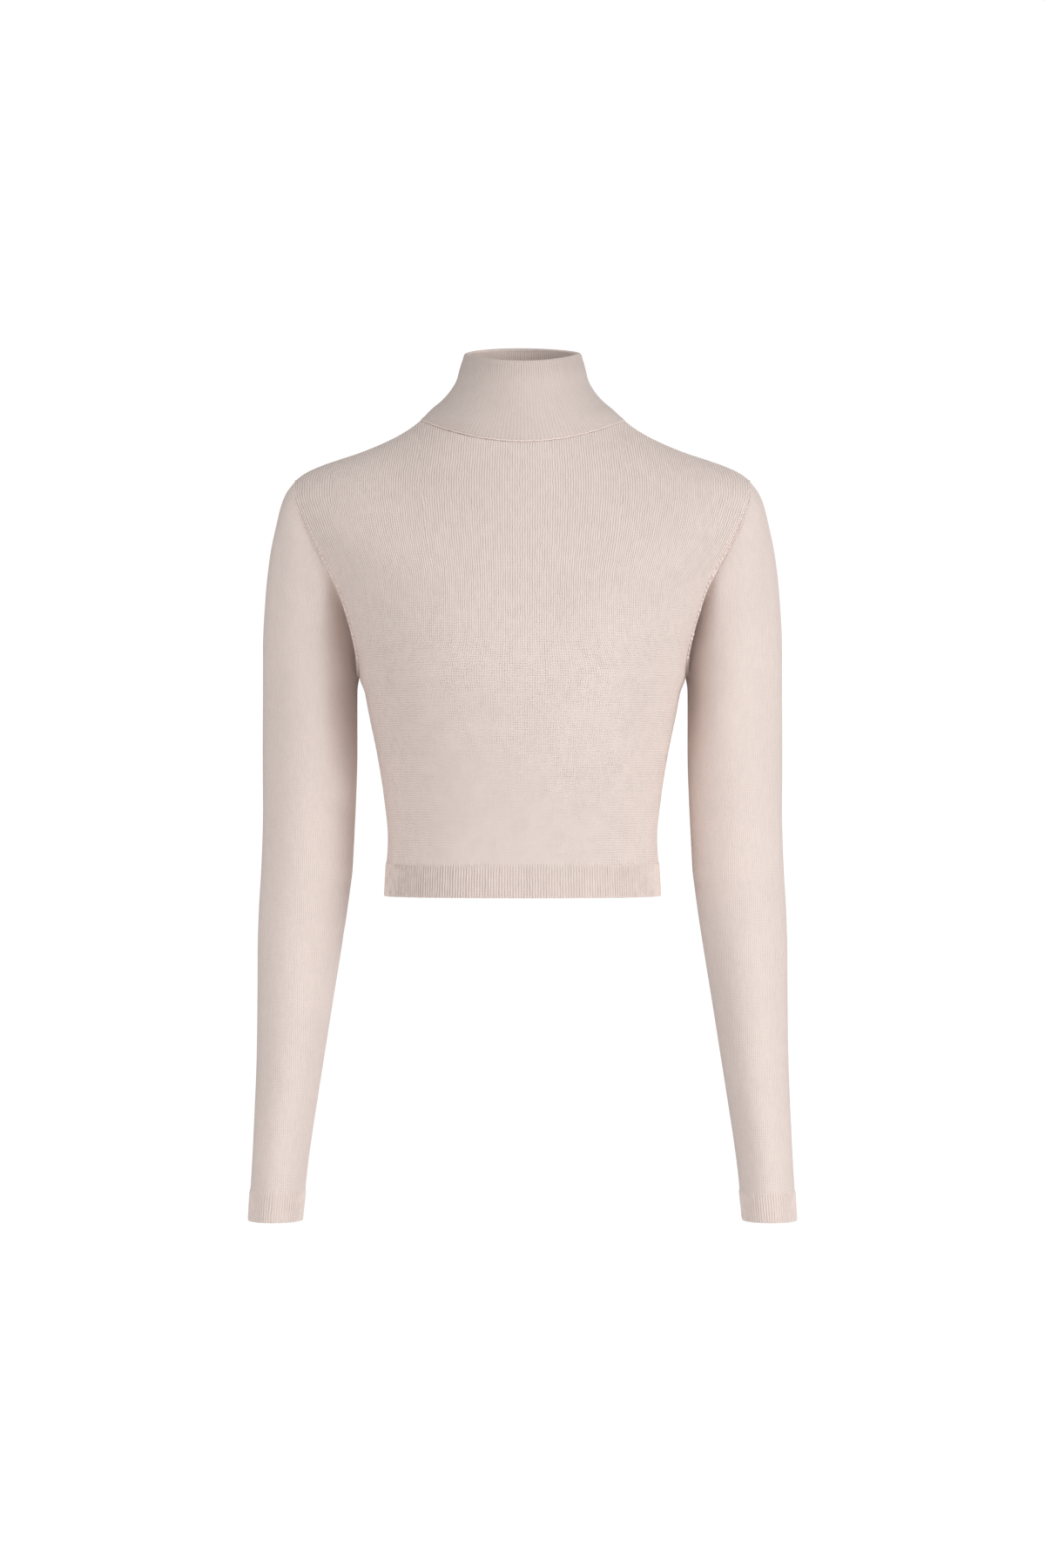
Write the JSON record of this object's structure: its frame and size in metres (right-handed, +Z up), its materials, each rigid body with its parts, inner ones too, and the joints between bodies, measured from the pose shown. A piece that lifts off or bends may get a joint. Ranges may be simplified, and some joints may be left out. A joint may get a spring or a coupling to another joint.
{
  "type": "cropped knit sweater",
  "caption": "Cropped fine-knit sweater with a high mock neck, long slim set-in sleeves, and rib hem and cuffs, hollow as if worn.",
  "frame": {"origin": "on the centre line, midway between the two side neck points, where the shoulders carry the sweater", "axes": "+Z up, -Y the front, +X the wearer's left"},
  "size_m": [0.445, 0.2098, 0.7128],
  "materials": {
    "front_knit": "matt fine knit",
    "back_knit": "matt fine knit",
    "sleeve_left_knit": "matt fine knit",
    "sleeve_right_knit": "matt fine knit",
    "collar_knit": "matt fine knit"
  },
  "bodies": {
    "root": {"front_panel": "front_knit", "back_panel": "back_knit", "sleeve_left": "sleeve_left_knit", "sleeve_right": "sleeve_right_knit", "collar": "collar_knit"}
  },
  "joints": []
}
